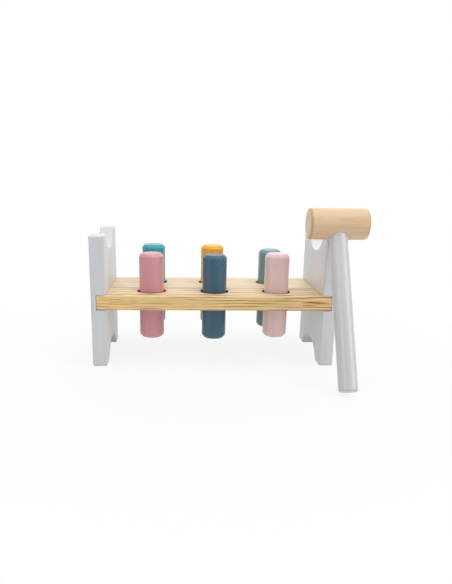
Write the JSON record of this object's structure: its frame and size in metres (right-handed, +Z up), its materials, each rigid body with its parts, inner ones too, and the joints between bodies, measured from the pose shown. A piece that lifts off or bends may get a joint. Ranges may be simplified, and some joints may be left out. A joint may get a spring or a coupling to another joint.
{
  "type": "peg pounding bench",
  "caption": "Toy bench with notched painted end panels, a pine board with sliding pegs gripped in its holes, and a wooden mallet leaning on one end.",
  "frame": {"origin": "on the floor under the middle of the bench, leaving the mallet out", "axes": "+X to the right along the board, +Y to the rear, +Z up; the mallet leans on the right end panel's front"},
  "size_m": [0.2677, 0.1844, 0.1612],
  "materials": {
    "panel paint": "light grey satin paint on wood",
    "pine": "clear matt varnish on pine",
    "ring rubber": "matt black rubber",
    "dowel": "bare beech, outer end painted with the panel",
    "mallet wood": "clear matt varnish on pale wood",
    "handle paint": "light grey gloss paint on wood",
    "rose paint": "satin paint on wood",
    "slate blue paint": "satin paint on wood",
    "pale pink paint": "satin paint on wood",
    "turquoise paint": "satin paint on wood",
    "mustard paint": "satin paint on wood",
    "grey blue paint": "satin paint on wood"
  },
  "bodies": {
    "bench": {"end_panel_left": "panel paint", "end_panel_right": "panel paint", "board_strip_front": "pine", "board_strip_rear": "pine", "ring_front_left": "ring rubber", "ring_front_mid": "ring rubber", "ring_front_right": "ring rubber", "ring_rear_left": "ring rubber", "ring_rear_mid": "ring rubber", "ring_rear_right": "ring rubber", "dowel_left_front": "dowel", "dowel_left_rear": "dowel", "dowel_right_front": "dowel", "dowel_right_rear": "dowel"},
    "peg_front_left": {"peg_front_left": "rose paint"},
    "peg_front_mid": {"peg_front_mid": "slate blue paint"},
    "peg_front_right": {"peg_front_right": "pale pink paint"},
    "peg_rear_left": {"peg_rear_left": "turquoise paint"},
    "peg_rear_mid": {"peg_rear_mid": "mustard paint"},
    "peg_rear_right": {"peg_rear_right": "grey blue paint"},
    "mallet": {"mallet_head": "mallet wood", "mallet_handle": "handle paint"}
  },
  "joints": [
    {"name": "peg_front_left_slide", "type": "slide", "parent": "bench", "child": "peg_front_left", "axis": [0, 0, 1], "range_m": [-0.0253, 0.0194]},
    {"name": "peg_front_mid_slide", "type": "slide", "parent": "bench", "child": "peg_front_mid", "axis": [0, 0, 1], "range_m": [-0.0242, 0.0205]},
    {"name": "peg_front_right_slide", "type": "slide", "parent": "bench", "child": "peg_front_right", "axis": [0, 0, 1], "range_m": [-0.026, 0.0187]},
    {"name": "peg_rear_left_slide", "type": "slide", "parent": "bench", "child": "peg_rear_left", "axis": [0, 0, 1], "range_m": [-0.0278, 0.0169]},
    {"name": "peg_rear_mid_slide", "type": "slide", "parent": "bench", "child": "peg_rear_mid", "axis": [0, 0, 1], "range_m": [-0.0275, 0.0172]},
    {"name": "peg_rear_right_slide", "type": "slide", "parent": "bench", "child": "peg_rear_right", "axis": [0, 0, 1], "range_m": [-0.0232, 0.0215]},
    {"name": "mallet_lift", "type": "slide", "parent": "bench", "child": "mallet", "axis": [0, 0, 1], "range_m": [0, 0.15]}
  ]
}
